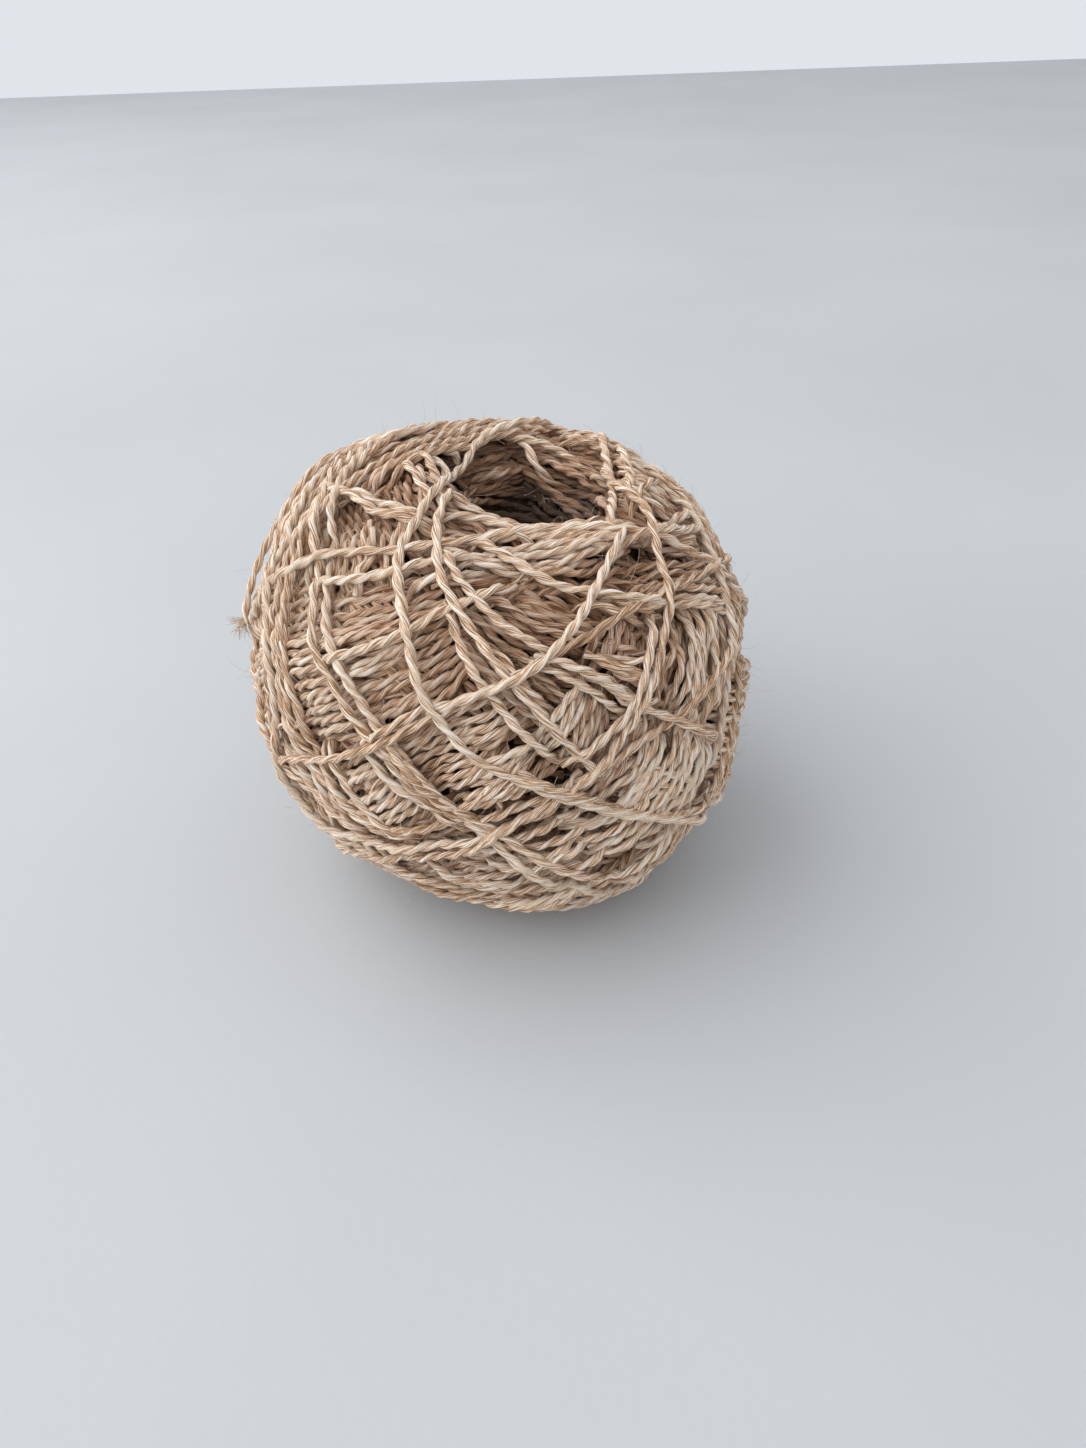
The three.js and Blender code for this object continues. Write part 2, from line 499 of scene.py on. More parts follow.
# The tree that draws a two-ply yarn along each line of a mesh
def yarn_tree(finish, sizes):
    tree = geometry_tree("two_ply_yarn", sizes)
    given = add_node(tree, "NodeGroupInput").outputs
    diameter, ply_length = Number(tree, given["Diameter"]), Number(tree, given["Ply length"])
    line = add_node(tree, "GeometryNodeMeshToCurve", None, {0: given["Geometry"]}).outputs[0]
    along = number(tree, "GeometryNodeSplineParameter", out="Length")
    line = stored(tree, line, "along", along)
    turned_on = along * carried_value(tree, "rate") * (2 * math.pi) / ply_length
    tilt = carried_value(tree, "phase") - turned_on
    line = add_node(tree, "GeometryNodeSetCurveTilt", None, {"Curve": line, "Tilt": tilt}).outputs[0]
    ring = circle(tree, given["Sides"], 1.0)
    angle = number(tree, "GeometryNodeSplineParameter", out="Factor") * (2 * math.pi)
    across, upward = angle.sum("COSINE", angle), angle.sum("SINE", angle)
    spread, radius = diameter * PLY_SPREAD, diameter * PLY_RADIUS
    reach = spread * abs(across) + (radius * radius - spread * spread * upward * upward) ** 0.5
    # How far into the groove between the plies each point of the ring lies: this is where painted shade goes
    groove_shade = 1.0 - (reach / diameter - GROOVE_FROM) / GROOVE_OVER
    place = add_node(tree, "ShaderNodeCombineXYZ", None, {0: across * reach, 1: upward * reach, 2: 0.0})
    ring = add_node(
        tree, "GeometryNodeSetPosition", None, {"Geometry": ring, "Position": place.outputs[0]}
    ).outputs[0]
    turned = add_node(tree, "ShaderNodeCombineXYZ", None, {0: across, 1: upward, 2: 0.0})
    ring = stored(tree, ring, "around", turned.outputs[0], "FLOAT_VECTOR")
    ring = stored(tree, ring, "groove_shade", groove_shade)
    tube = swept(tree, line, ring, carried_value(tree, "girth"))
    smooth = add_node(tree, "GeometryNodeSetShadeSmooth", None, {"Geometry": tube}).outputs[0]
    end_tree(tree, smooth, finish)
    return tree


# Even steps along a path of points
def even_steps(path, step=STEP):
    path = np.asarray(path, float)
    lengths = np.concatenate([[0], np.cumsum(np.linalg.norm(np.diff(path, axis=0), axis=1))])
    count = max(3, int(round(lengths[-1] / step)) + 1)
    places = np.linspace(0, lengths[-1], count)
    return np.stack([np.interp(places, lengths, path[:, i]) for i in range(path.shape[1])], -1)


# A smooth curve through a few given points
def smooth_curve(points, samples=16):
    points = np.asarray(points, float)
    ends = np.vstack([2 * points[0] - points[1], points, 2 * points[-1] - points[-2]])
    pieces = []
    for i in range(1, len(ends) - 2):
        before, start, stop, after = ends[i - 1], ends[i], ends[i + 1], ends[i + 2]
        t = np.linspace(0, 1, samples, endpoint=False)[:, None]
        pieces.append(
            0.5
            * (
                2 * start
                + (stop - before) * t
                + (2 * before - 5 * start + 4 * stop - after) * t**2
                + (3 * start - before - 3 * stop + after) * t**3
            )
        )
    return np.vstack(pieces + [points[-1:]])


def blurred(values, rounds, closed=False):
    values = np.array(values, float)
    for _ in range(rounds):
        if closed:
            values = 0.25 * np.roll(values, 1, 0) + 0.5 * values + 0.25 * np.roll(values, -1, 0)
        else:
            values[1:-1] = 0.25 * values[:-2] + 0.5 * values[1:-1] + 0.25 * values[2:]
    return values


# Slow random drift along a strand, for the yarn's own unevenness
def drift(chance, count, every, size):
    knots = chance.normal(0, size, max(4, int(count / every) + 3))
    places = np.linspace(0, len(knots) - 1.001, count)
    low = places.astype(int)
    share = places - low
    share = share * share * (3 - 2 * share)
    return knots[low] * (1 - share) + knots[low + 1] * share


def search_tree(points):
    tree = kdtree.KDTree(len(points))
    for i, point in enumerate(points):
        tree.insert(point, i)
    tree.balance()
    return tree


# Height of a turn's upper side, beside its own middle
def top_of(centre, away):
    return centre + TOP_ROUNDNESS * np.sqrt(np.maximum((YARN_DIAMETER / 2) ** 2 - away**2, 0))


class Winding:
    """The bed, and the turns laid on it one after another, each resting on what is already there."""

    def __init__(self):
        self.chance = np.random.default_rng(SEED)
        self.strands = []
        points, normals, wanted = [], [], []
        sample = np.linspace(0.0, 2.0, 4001)
        profile = skin_grid.at(1.2, sample)[0]
        travelled = np.concatenate([[0], np.cumsum(np.linalg.norm(np.diff(profile, axis=0), axis=1))])
        ways = np.interp(np.arange(0.5, travelled[-1], BED_SPACING), travelled, sample)
        for way in ways:
            girth = np.hypot(*(skin_grid.at(0.0, way)[0] - skin_grid.at(math.pi, way)[0])[:2]) * math.pi
            count = max(6, int(girth / BED_SPACING))
            turns = np.linspace(0, 2 * math.pi, count, endpoint=False) + self.chance.uniform(0, 1)
            place, normal = skin_grid.at(turns, way)
            deep = bed_depth(np.full(count, way))
            points.append(place - normal * deep[:, None])
            normals.append(normal)
            wanted.append(deep - LEVEL_BELOW_SKIN * (1 - smoothstep(way, *LIP_WAYS)))
        self.points, self.normals = np.vstack(points), np.vstack(normals)
        self.wanted = np.concatenate(wanted)
        self.height = np.zeros(len(self.points))
        self.tree = search_tree(self.points)

    # Lays one turn. Its ends, where it has any, dive under their neighbours
    def lay(self, group, path, closed=False, wander=WANDER):
        chance = self.chance
        path = even_steps(path)
        if closed:
            path = path[:-1]
        count = len(path)
        nearest = [self.tree.find(p)[1] for p in path]
        normals = unit(blurred(self.normals[nearest], SMOOTHING, closed))
        tangents = np.gradient(path, axis=0)
        sideways = unit(np.cross(normals, tangents))
        aside = drift(chance, count, WANDER_EVERY, wander)
        aside = aside + drift(chance, count, FINE_WANDER_EVERY, wander * FINE_WANDER)
        path = path + sideways * aside[:, None]
        feet = path - normals * ((path - self.points[nearest]) * normals).sum(1)[:, None]
        covers = []
        under = np.zeros(count)
        for i, foot in enumerate(feet):
            found = self.tree.find_range(foot, COVER)
            index = np.array([f[1] for f in found], int)
            away = np.array([f[2] for f in found])
            covers.append((index, away))
            close = index[away < FOOTPRINT] if len(index) else index
            under[i] = self.height[close].max() if len(close) else 0.0
        reach = int(SAG_REACH / STEP)
        rise = under.copy()
        for shift in range(1, reach + 1):
            fall = (shift * STEP) ** 2 / (2 * SAG_RADIUS)
            if closed:
                for other in (np.roll(under, shift), np.roll(under, -shift)):
                    rise = np.maximum(rise, other - fall)
            elif shift < count:
                rise[shift:] = np.maximum(rise[shift:], under[:-shift] - fall)
                rise[:-shift] = np.maximum(rise[:-shift], under[shift:] - fall)
        rise = blurred(rise, SMOOTHING, closed)
        centre = rise + YARN_SINK
        dip = np.zeros(count)
        if not closed:
            place = np.arange(count) * STEP
            dip = TUCK * (1 - smoothstep(np.minimum(place, place[-1] - place), 0, TUCK_LENGTH))
        for i, (index, away) in enumerate(covers):
            if len(index):
                self.height[index] = np.maximum(self.height[index], top_of(centre[i], away))
        self.strands.append(
            {
                "group": group,
                "feet": feet,
                "centre": centre,
                "covers": covers,
                "closed": closed,
                "dip": dip,
                "normals": normals,
                "level": self.wanted[nearest] - YARN_DIAMETER / 2,
            }
        )

    # Settles the whole winding inwards or outwards, smoothly, until its outermost yarn is level with the skin
    def settle(self):
        thin = np.arange(0, len(self.points), THINNED)
        thin_tree = search_tree(self.points[thin])
        over = (self.height - self.wanted)[thin]
        nodes = thin[::THINNED_AGAIN]
        excess = np.zeros(len(nodes))
        for i, point in enumerate(self.points[nodes]):
            near = [f[1] for f in thin_tree.find_range(point, LEVEL_SPREAD)]
            excess[i] = over[near].mean()
        node_tree = search_tree(self.points[nodes])
        for strand in self.strands:
            shift = np.zeros(len(strand["feet"]))
            for i, foot in enumerate(strand["feet"]):
                near = node_tree.find_n(foot, NEAR_NODES)
                weight = np.array([1 / (f[2] + NODE_SOFTNESS) ** 2 for f in near])
                shift[i] = weight @ excess[[f[1] for f in near]] / weight.sum()
            settled = strand["centre"] - blurred(shift, LEVEL_SMOOTHING, strand["closed"])
            over_level = settled - strand["level"]
            over_level = np.where(over_level > PROUD, PROUD + (over_level - PROUD) * SQUASH, over_level)
            over_level = np.where(over_level < -SUNK, -SUNK + (over_level + SUNK) * SQUASH, over_level)
            strand["height"] = strand["level"] + over_level - strand["dip"]
            places = strand["feet"] + strand["normals"] * strand["height"][:, None]
            places[:, 2] = np.maximum(places[:, 2], YARN_DIAMETER * LOWEST_YARN)
            strand["places"] = places

    # Keeps the stretches that show: those where the turn is near the top of what covers its own footing
    def shown(self):
        for strand in self.strands:
            count = len(strand["places"])
            seen = np.zeros(count, bool)
            depth = np.zeros(count)
            for i, (index, away) in enumerate(strand["covers"]):
                if not len(index):
                    seen[i] = True
                    continue
                over = self.height[index] - top_of(strand["centre"][i], away)
                seen[i] = over.min() < HIDDEN_DEPTH
                # How deep the turn lies below the outer level, which sets the painted shade in the gaps
                depth[i] = BED_DEPTH - strand["height"][i] - YARN_DIAMETER / 2
            for _ in range(SHOWN_MARGIN):
                grown_on = seen.copy()
                grown_on[1:] |= seen[:-1]
                grown_on[:-1] |= seen[1:]
                seen = grown_on
            # Deep in the hole the depth grows further, for painted shade there
            places = strand["places"]
            away = np.hypot(places[:, 0] - MOUTH_OFFSET, places[:, 1])
            within = 1 - smoothstep(away, PAINTED_PIT_WIDTHS[0], PAINTED_PIT_WIDTHS[1])
            below = smoothstep(-places[:, 2], -PAINTED_PIT_HEIGHTS[0], -PAINTED_PIT_HEIGHTS[1])
            strand["seen"], strand["depth"] = seen, depth + PAINTED_PIT_DEPTH * within * below


# Pushes a turn sideways, in its plane's normal direction, until it keeps clear of the mouth
def kept_clear(points, normal, clearance):
    across = unit(normal[:2])
    onward = np.array([-across[1], across[0]])
    away = points[:, :2] - [MOUTH_OFFSET, 0.0]
    side, way = away @ across, away @ onward
    above = points[:, 2] > 0
    if not above.any():
        return points
    nearest = np.flatnonzero(above)[np.linalg.norm(away[above], axis=1).argmin()]
    facing = 1.0 if side[nearest] > 0 else -1.0
    wanted = clearance * np.exp(-CLEAR_SHARE * (way / clearance) ** 2)
    ahead = np.maximum(facing * side, 0)
    rounded = (ahead**CLEAR_SHARPNESS + wanted**CLEAR_SHARPNESS) ** (1 / CLEAR_SHARPNESS)
    pushed = np.where(facing * side > -clearance * CLEAR_SHARE, rounded, facing * side)
    shift = np.where(above, pushed * facing - side, 0.0)
    moved = points.copy()
    moved[:, :2] += shift[:, None] * across
    return moved


# A closed turn in a plane, at an offset from the middle of the ball that may change on the way round
def plane_turn(normal, offsets, steps=361, clearance=MOUTH_CLEARANCE):
    offsets = np.broadcast_to(np.asarray(offsets, float), (steps,))[:, None]
    side, front = plane_axes(normal)
    angle = np.linspace(0, 2 * math.pi, steps)[:, None]
    spokes = side * np.cos(angle) + front * np.sin(angle)
    reach = np.full((steps, 1), FIRST_REACH)
    for _ in range(REACH_ROUNDS):
        radius = form_radius(unit(normal * offsets + spokes * reach))[:, None]
        reach = np.sqrt(np.maximum(radius**2 - offsets**2, LEAST_REACH**2))
    points = normal * offsets + spokes * reach
    if clearance:
        points = kept_clear(points, normal, clearance)
    points[:, 2] = np.maximum(points[:, 2] + WAIST_HEIGHT, 0)
    for point in points:
        if math.hypot(point[0] - MOUTH_OFFSET, point[1]) < NEAR_MOUTH and point[2] > WAIST_HEIGHT:
            point[2] = skin.ray_cast((point[0], point[1], ABOVE_BALL), (0, 0, -1))[0][2]
    return points


def plane_axes(normal):
    side = unit(np.cross(normal, [0.0, 0.0, 1.0]))
    return side, np.cross(side, normal)


# How far from the middle of the ball a turn lies that passes the mouth's middle at a given clearance
def skirting_offset(normal, clearance):
    mouth = np.array([MOUTH_OFFSET, 0.0, CROWN_ABOVE_WAIST - MOUTH_SUNK])
    return normal @ mouth - np.hypot(normal[0], normal[1]) * clearance


# Carries a path on over the skin, straight ahead as tight yarn lies, and aside round the mouth
def carried_on(path, length):
    places = list(blurred(even_steps(path), PATH_SMOOTHING))
    heading = unit(places[-1] - places[max(0, len(places) - HEADING_STEPS)])
    mouth = np.array([MOUTH_OFFSET, 0.0])
    for _ in range(int(length)):
        away = places[-1][:2] - mouth
        distance = np.linalg.norm(away)
        toward = -heading[:2] @ away / distance
        if toward > 0 and places[-1][2] > WAIST_HEIGHT:
            turned = STEERING * (1 - smoothstep(distance, MOUTH_CLEARANCE, MOUTH_CLEARANCE + STEERING_REACH))
            heading[:2] += away / distance * toward * turned
            heading = unit(heading)
        place = np.array(skin.find_nearest(places[-1] + heading)[0])
        heading = unit(place - places[-1])
        places.append(place)
    return np.array(places)


# A path given by places in the photograph, cast onto the skin through the camera, and cut where that jumps
def cast(pixels, before, after, samples=10):
    right, up, ahead = camera_axes()
    focal = CAMERA_LENS / SENSOR_WIDTH * PHOTO_HEIGHT
    runs = [[]]
    for x, y in smooth_curve(pixels, samples):
        ray = ahead + (x - PHOTO_WIDTH / 2) / focal * right - (y - PHOTO_HEIGHT / 2) / focal * up
        hit = skin.ray_cast(CAMERA_PLACE, unit(ray))[0]
        if hit is None:
            runs.append([])
            continue
        place = np.array(hit)
        if runs[-1] and np.linalg.norm(place - runs[-1][-1]) > JUMP:
            runs.append([])
        runs[-1].append(place)
    path = max(runs, key=len)
    if len(path) < 4:
        return None
    path = carried_on(path, after)
    return carried_on(path[::-1], before)[::-1]


# Turns that lie deep: one close layer over the whole bed
FILL_NORMAL = {"around": -95, "up": 38}
FILL_PITCH = 1.75
FILL_REACH = 43.0
FILL_CLEARANCE = 12.0

# Turns laid round the wall of the hole, each a little tilted
HOLE_TURNS = 26
HOLE_TILT = 0.035
HOLE_REACH = 0.97
HOLE_WAYS = (0.97, 1.98)

# Turns that skirt the mouth, from every side
MOUTH_TURNS = 15
MOUTH_TURN_TILT = 47
MOUTH_CLEARANCES = (13.0, 14.6, 16.4, 13.8, 18.0)

# Bands, wound one after another with their normals turned by the golden angle
BANDS = 11
BAND_TURNS = 10
BAND_PITCH = 1.6
GOLDEN_ANGLE = 137.5
BAND_FIRST = 55.0
BAND_TILTS = (41, 50, 45, 38)
BAND_CLEARANCES = (15.0, 38.0, 24.0, 52.0, 30.0)

# How unevenly the rows lie, in shares of their spacing and in the photograph's own steps
ROW_SPACING = 1.7
ROW_JITTER = 0.3
ROW_LEAN = 2.0
ROW_OVERLAP = (1.0, 5.0)
ROW_WANDER = 0.2

# How far a turn is carried on past its last place in the photograph, in millimetres
CARRIED = 80
CARRIED_SHORT = 3

# Rows of turns in the windows of the front, by places in the photograph: the first turn and the last one
ROWS = [
    # right shoulder and flank, following the outline
    {"first": [(655, 545), (676, 620), (664, 700)], "last": [(716, 560), (730, 640), (720, 720)]},
    {"first": [(590, 775), (612, 752), (632, 722)], "last": [(655, 842), (694, 800), (718, 752)]},
    {"first": [(560, 800), (590, 790), (622, 760)], "last": [(575, 862), (620, 842), (668, 800)]},
    # foot
    {"first": [(300, 790), (345, 842), (400, 868)], "last": [(330, 830), (380, 872), (440, 893)]},
    {"first": [(430, 836), (500, 838), (560, 812)], "last": [(450, 893), (540, 905), (610, 885)]},
    # lower left, between the slanting pairs
    {"first": [(318, 776), (350, 766), (388, 748)], "last": [(352, 836), (385, 826), (420, 812)]},
    {"first": [(382, 748), (415, 734), (452, 716)], "last": [(440, 832), (480, 812), (525, 790)]},
    {"first": [(452, 720), (490, 706), (528, 690)], "last": [(505, 800), (535, 785), (572, 770)]},
    # left side, between the outline and the steep pair
    {"first": [(270, 585), (288, 578), (318, 570)],
     "last": [(267, 660), (290, 655), (322, 645)], "before": 9},
    {"first": [(270, 669), (290, 664), (324, 654)],
     "last": [(288, 742), (320, 735), (368, 722)], "before": 9},
    {"first": [(289, 752), (300, 760), (322, 772)],
     "last": [(304, 780), (318, 798), (338, 812)], "before": 9},
    # left middle, between the steep pair and the long turn
    {"first": [(328, 584), (365, 580), (408, 572)], "last": [(322, 660), (365, 648), (412, 632)]},
    {"first": [(340, 668), (375, 656), (416, 642)], "last": [(372, 748), (402, 735), (440, 716)]},
    # between the long turn and the next pair
    {"first": [(402, 556), (425, 552), (448, 546)], "last": [(404, 606), (428, 598), (455, 588)]},
    {"first": [(402, 618), (428, 606), (458, 592)], "last": [(425, 700), (452, 682), (480, 660)]},
    # middle
    {"first": [(452, 560), (500, 556), (552, 548)], "last": [(462, 600), (500, 588), (545, 572)]},
    {"first": [(470, 610), (505, 640), (548, 668)], "last": [(540, 585), (580, 606), (622, 622)]},
    {"first": [(462, 640), (500, 684), (556, 742)], "last": [(520, 650), (556, 690), (600, 730)]},
    # right middle
    {"first": [(590, 660), (602, 638), (610, 612)], "last": [(642, 700), (655, 670), (664, 636)]},
    {"first": [(546, 728), (562, 706), (576, 690)], "last": [(592, 770), (608, 745), (620, 716)]},
    {"first": [(600, 560), (630, 572), (668, 580)], "last": [(592, 600), (622, 612), (660, 622)]},
    {"first": [(620, 640), (640, 650), (660, 658)], "last": [(600, 690), (622, 702), (650, 712)]},
    # upper left
    {"first": [(300, 520), (288, 548), (276, 580)], "last": [(408, 522), (396, 548), (386, 568)]},
    {"first": [(302, 505), (340, 464), (392, 440)], "last": [(322, 512), (360, 480), (404, 462)]},
    # right shoulder
    {"first": [(622, 455), (664, 478), (704, 508)], "last": [(612, 520), (650, 536), (700, 548)]},
    {"first": [(640, 560), (680, 556), (724, 560)], "last": [(640, 602), (680, 600), (732, 612)]},
    # along the outline at the upper left
    {"first": [(329, 482), (367, 448), (404, 430), (455, 421), (512, 419)],
     "last": [(352, 500), (384, 478), (420, 460), (466, 447), (514, 434)]},
    # right wall of the mouth
    {"first": [(514, 440), (553, 447), (580, 466), (606, 484)],
     "last": [(520, 456), (541, 470), (566, 480), (606, 496)], "before": 0, "after": 0},
    {"first": [(520, 462), (541, 480), (560, 494), (598, 520)],
     "last": [(520, 494), (533, 510), (548, 518), (560, 526)], "before": 0, "after": 0},
    # back wall of the mouth
    {"first": [(467, 472), (490, 459), (515, 448)], "last": [(474, 490), (500, 476), (528, 470)],
     "before": 0, "after": 0},
    # front lip of the mouth
    {"first": [(450, 520), (500, 536), (560, 536)], "last": [(440, 548), (520, 572), (600, 552)]},
    {"first": [(505, 548), (550, 545), (612, 528)], "last": [(540, 582), (580, 575), (632, 548)]},
]

# Single turns over the rows, by places in the photograph, the lowest first. Whole ones go on round the ball.
# Before and after say how far each end is carried on, in millimetres
CROSSINGS = [
    # along the outline, upper left, left and foot
    {"whole": True, "places": [
        (425, 430), (388, 442), (356, 463), (332, 489), (312, 516), (298, 544), (288, 576),
    ]},
    {"whole": True, "places": [
        (391, 437), (360, 456), (333, 480), (311, 507), (295, 532), (283, 560), (275, 592),
    ]},
    {"whole": True, "places": [
        (286, 590), (281, 622), (279, 662), (283, 697), (290, 725), (301, 749), (319, 777),
        (346, 804), (378, 826), (413, 832), (452, 828),
    ]},
    {"whole": True, "places": [
        (282, 749), (298, 788), (318, 814), (346, 838), (377, 857), (408, 874), (448, 888),
        (486, 899), (528, 904), (570, 900), (608, 890),
    ]},
    {"whole": True, "places": [
        (321, 802), (344, 822), (372, 842), (406, 857), (438, 871), (476, 884), (515, 893),
        (554, 894), (594, 886), (628, 874),
    ]},
    # along the outline, right
    {"whole": True, "places": [
        (700, 524), (715, 554), (724, 593), (729, 631), (730, 670), (727, 707), (720, 741),
        (708, 774), (689, 803), (664, 833), (632, 861),
    ]},
    {"whole": True, "places": [
        (708, 530), (722, 560), (731, 596), (736, 633), (737, 671), (734, 710), (727, 746),
        (714, 781), (694, 811), (668, 841),
    ]},
    # walls and lip of the mouth
    {"before": 3, "after": 2, "places": [(520, 442), (553, 449), (569, 457), (594, 478), (604, 482)]},
    {"before": 2, "after": 3, "places": [
        (526, 449), (535, 465), (551, 482), (569, 490), (588, 494), (604, 504),
    ]},
    {"before": 2, "after": 2, "places": [(522, 467), (541, 482), (559, 496), (577, 506), (596, 522)]},
    {"before": 0, "after": 0, "places": [(531, 488), (539, 502), (555, 514), (573, 524)]},
    {"before": 0, "after": 0, "places": [(471, 484), (498, 473), (522, 469)]},
    {"before": 0, "after": 0, "places": [(478, 494), (502, 484), (522, 480)]},
    {"before": 5, "after": 5, "places": [(498, 535), (543, 533), (576, 535), (604, 531), (616, 526)]},
    {"before": 5, "after": 5, "places": [(486, 541), (514, 538), (539, 540), (576, 540), (618, 535)]},
    {"before": 5, "after": 5, "places": [(506, 551), (543, 547), (580, 544), (612, 539)]},
    {"before": 3, "after": 3, "places": [(510, 557), (543, 555), (576, 549), (596, 545)]},
    {"before": 4, "after": 6, "places": [(449, 516), (461, 516), (486, 523), (506, 534)]},
    # left of the mouth
    {"before": 1, "after": 3, "places": [(402, 461), (416, 480), (431, 498)]},
    {"before": 1, "after": 3, "places": [(418, 453), (428, 472), (437, 490)]},
    {"before": 1, "after": 3, "places": [(431, 459), (437, 471), (443, 484)]},
    {"before": 1, "after": 0, "places": [(439, 449), (449, 460), (459, 471)]},
    # right of the mouth
    {"before": 6, "after": 3, "places": [(602, 441), (610, 467), (614, 498), (610, 522)]},
    {"before": 4, "after": 3, "places": [(620, 453), (630, 473), (629, 496)]},
    {"places": [(657, 482), (643, 492), (637, 502)]},
    {"places": [(688, 512), (671, 520), (653, 531)]},
    {"places": [(323, 487), (353, 498), (382, 513), (420, 522)]},
    {"places": [(356, 492), (389, 506), (424, 516)]},
    {"whole": True, "places": [(311, 570), (311, 610), (312, 651), (330, 681), (349, 718), (375, 745)]},
    {"whole": True, "places": [(323, 576), (323, 626), (331, 654), (346, 681), (365, 713), (384, 738)]},
    {"places": [(318, 580), (362, 579), (393, 570), (433, 562), (470, 556)]},
    {"whole": True, "places": [
        (277, 578), (316, 555), (353, 548), (397, 551), (433, 544), (480, 539), (500, 538),
    ]},
    {"places": [(326, 659), (365, 648), (400, 634), (449, 607), (500, 586)]},
    {"places": [(319, 761), (339, 796), (370, 824), (390, 838)]},
    {"places": [(326, 758), (352, 792), (378, 820), (400, 836)]},
    {"places": [(362, 750), (386, 783), (417, 802), (449, 828), (474, 838)]},
    {"places": [(373, 745), (393, 772), (425, 802), (457, 828)]},
    {"places": [(386, 742), (409, 772), (437, 796), (465, 820)]},
    {"whole": True, "before": 3, "places": [
        (284, 757), (322, 760), (370, 747), (409, 728), (436, 716), (500, 686), (530, 668),
    ]},
    {"places": [(373, 737), (400, 722), (430, 706)]},
    {"whole": True, "after": 3, "places": [
        (276, 562), (269, 606), (267, 646), (270, 686), (278, 725), (288, 765), (305, 797),
        (328, 823), (357, 840), (396, 846), (449, 843), (500, 831), (549, 806), (570, 790),
    ]},
    {"places": [(446, 554), (457, 578), (480, 606), (506, 628), (549, 653)]},
    {"places": [(452, 616), (462, 651), (486, 691), (523, 734), (549, 758)]},
    {"before": 0, "places": [
        (466, 484), (452, 494), (441, 509), (435, 536), (440, 578), (473, 632), (506, 675),
        (566, 744), (600, 776),
    ]},
    {"places": [(480, 544), (514, 565), (549, 582), (587, 591), (626, 599), (661, 601)]},
    {"places": [(556, 661), (583, 672), (618, 689), (640, 705)]},
    {"places": [(549, 668), (583, 685), (616, 708), (640, 722)]},
    {"places": [(640, 704), (678, 720), (706, 734)]},
    {"places": [(630, 541), (664, 534), (699, 527)]},
    {"whole": True, "before": 3, "after": 5, "places": [
        (622, 534), (607, 566), (582, 613), (545, 661), (518, 678), (480, 694), (448, 706),
    ]},
    {"places": [(654, 627), (645, 666), (630, 709), (607, 737), (580, 758)]},
    {"whole": True, "before": 6, "places": [
        (612, 484), (620, 494), (639, 509), (654, 554), (668, 606), (650, 680), (611, 756),
        (560, 798),
    ]},
    {"whole": True, "before": 3, "places": [(520, 775), (560, 790), (610, 806), (650, 812), (672, 808)]},
    {"whole": True, "before": 14, "places": [
        (548, 428), (527, 430), (502, 434), (481, 440), (466, 449), (455, 462), (446, 478),
        (436, 496), (416, 522), (398, 562), (405, 626), (425, 697), (473, 756), (540, 787),
        (610, 808), (665, 812),
    ]},
]

# The turn that becomes the loose end, and from where to where it rises out, in millimetres before it
LEAD_IN = [(470, 421), (430, 427), (396, 438), (368, 449), (345, 459)]
LEAD_IN_RISE = (12, 0.5)

skin_grid = Skin()
skin_vertices, skin_faces = skin_mesh(0.0)
skin = BVHTree.FromPolygons(skin_vertices, skin_faces)
winding = Winding()
chance = np.random.default_rng(SEED + 2)

fill_normal = bearing(FILL_NORMAL["around"], FILL_NORMAL["up"])
for offset in np.arange(-FILL_REACH, FILL_REACH, FILL_PITCH):
    path = plane_turn(fill_normal, offset, clearance=0)[:-1]
    away = np.hypot(path[:, 0] - MOUTH_OFFSET, path[:, 1])
    inside = (away < FILL_CLEARANCE) & (path[:, 2] > WAIST_HEIGHT)
    if inside.any():
        start = np.flatnonzero(inside & ~np.roll(inside, -1))[-1] + 1
        path = np.roll(path, -start, 0)[: len(path) - inside.sum()]
    winding.lay("fill", path, closed=not inside.any())
for ring in range(HOLE_TURNS):
    turn = np.linspace(0, 2 * math.pi, 121)
    tilt = HOLE_TILT * np.cos(turn - math.radians(GOLDEN_ANGLE) * ring)
    way = 1.0 + HOLE_REACH * ring / HOLE_TURNS + tilt
    winding.lay("hole", skin_grid.at(turn, np.clip(way, *HOLE_WAYS))[0], closed=True)
for turn in range(MOUTH_TURNS):
    normal = bearing(GOLDEN_ANGLE * turn, MOUTH_TURN_TILT)
    clearance = MOUTH_CLEARANCES[turn % len(MOUTH_CLEARANCES)]
    winding.lay("mouth", plane_turn(normal, skirting_offset(normal, clearance)), closed=True)
for band in range(BANDS):
    normal = bearing(BAND_FIRST + GOLDEN_ANGLE * band, BAND_TILTS[band % len(BAND_TILTS)])
    start = skirting_offset(normal, BAND_CLEARANCES[band % len(BAND_CLEARANCES)])
    for turn in range(BAND_TURNS):
        winding.lay("bands", plane_turn(normal, start - BAND_PITCH * turn), closed=True)
for row in ROWS:
    first, last = np.array(row["first"], float), np.array(row["last"], float)
    reach = np.linalg.norm(cast(first, 0, 0).mean(0) - cast(last, 0, 0).mean(0))
    shares = np.linspace(0, 1, max(2, int(round(reach / ROW_SPACING)) + 1))
    shares = shares + chance.uniform(-ROW_JITTER, ROW_JITTER, len(shares)) / len(shares)
    for share in shares:
        pixels = first + (last - first) * share
        for end, beside in ((0, 1), (-1, -2)):
            onward = unit(pixels[end] - pixels[beside])
            pixels[end] += np.array([-onward[1], onward[0]]) * chance.normal(0, ROW_LEAN)
        before, after = chance.uniform(*ROW_OVERLAP, 2)
        path = cast(pixels, row.get("before", before), row.get("after", after))
        if path is not None:
            winding.lay("rows", path, wander=ROW_WANDER)
for crossing in CROSSINGS:
    usual = CARRIED if "whole" in crossing else CARRIED_SHORT
    before, after = crossing.get("before", usual), crossing.get("after", usual)
    winding.lay("crossings", cast(crossing["places"], before, after))
winding.lay("crossings", cast(LEAD_IN, CARRIED, 0))
lead_in = winding.strands[-1]

winding.settle()

